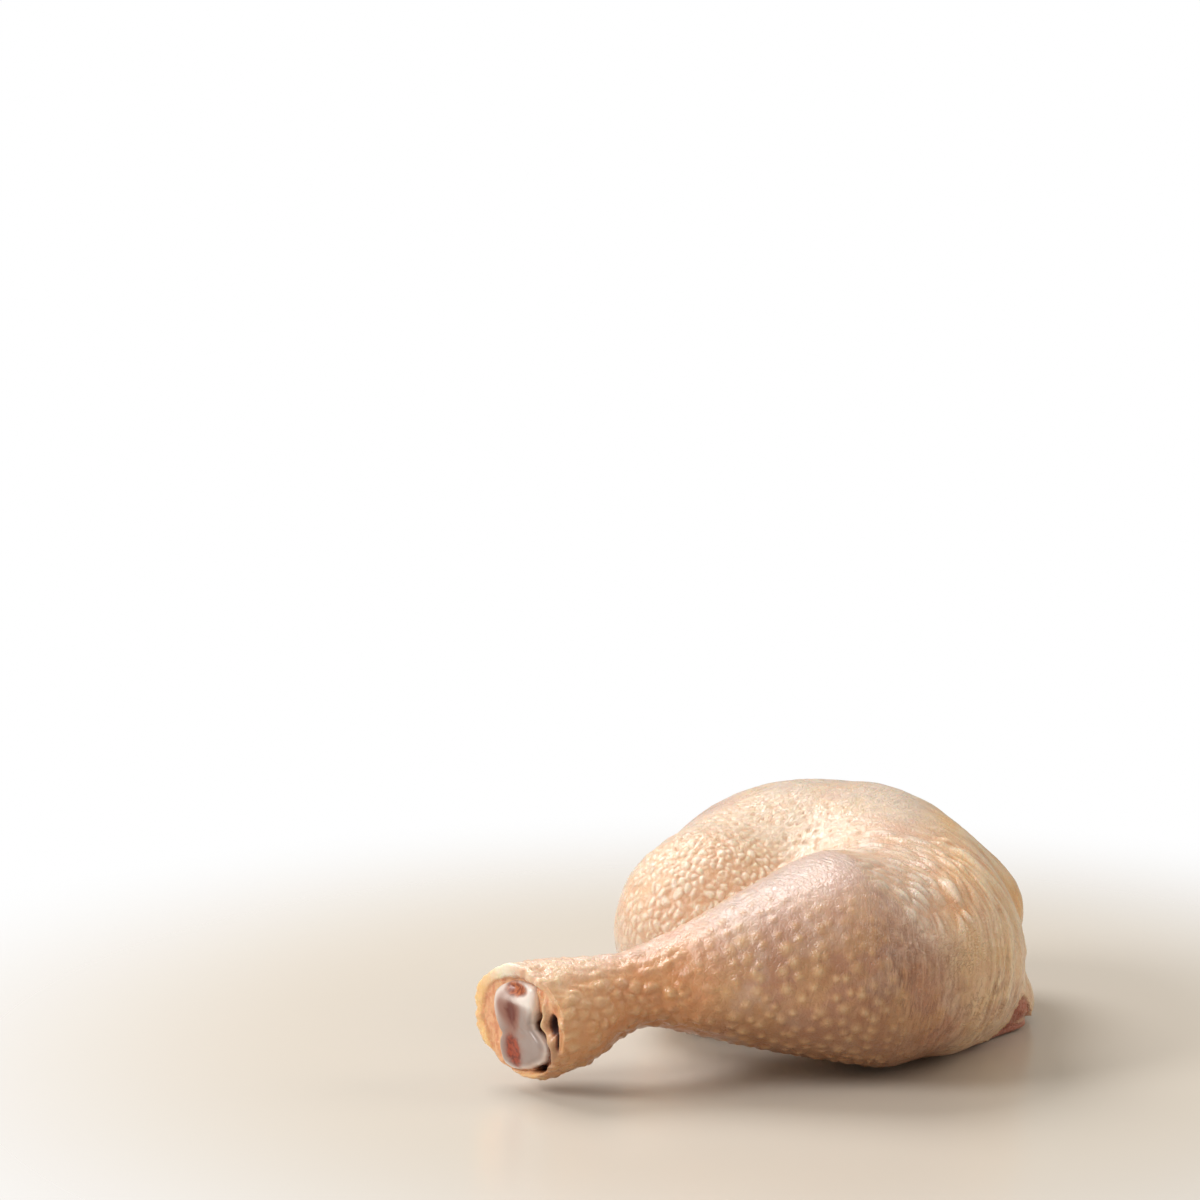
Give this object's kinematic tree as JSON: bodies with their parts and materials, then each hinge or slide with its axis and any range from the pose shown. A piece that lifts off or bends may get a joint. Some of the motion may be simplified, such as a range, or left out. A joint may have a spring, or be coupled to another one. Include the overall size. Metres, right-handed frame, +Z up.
{
  "type": "chicken thigh with drumstick",
  "caption": "Raw chicken leg quarter, skin side up: a rounded thigh folded beside its drumstick, with the bone end showing in the cut hock.",
  "frame": {"origin": "middle of the leg quarter's footprint, on the surface that it lies on", "axes": "+X along the longest side, from the cut hock towards the knee; +Y from the drumstick to the thigh; +Z up"},
  "size_m": [0.1306, 0.1198, 0.0557],
  "materials": {
    "skin": "raw poultry skin, wet and lightly glossy, slightly see-through, with pale follicle bumps, over pink meat",
    "bone": "wet bluish-white cartilage with dark red marrow spots"
  },
  "bodies": {
    "root": {"leg_meat": "skin", "shin_bone": "bone"}
  },
  "joints": []
}
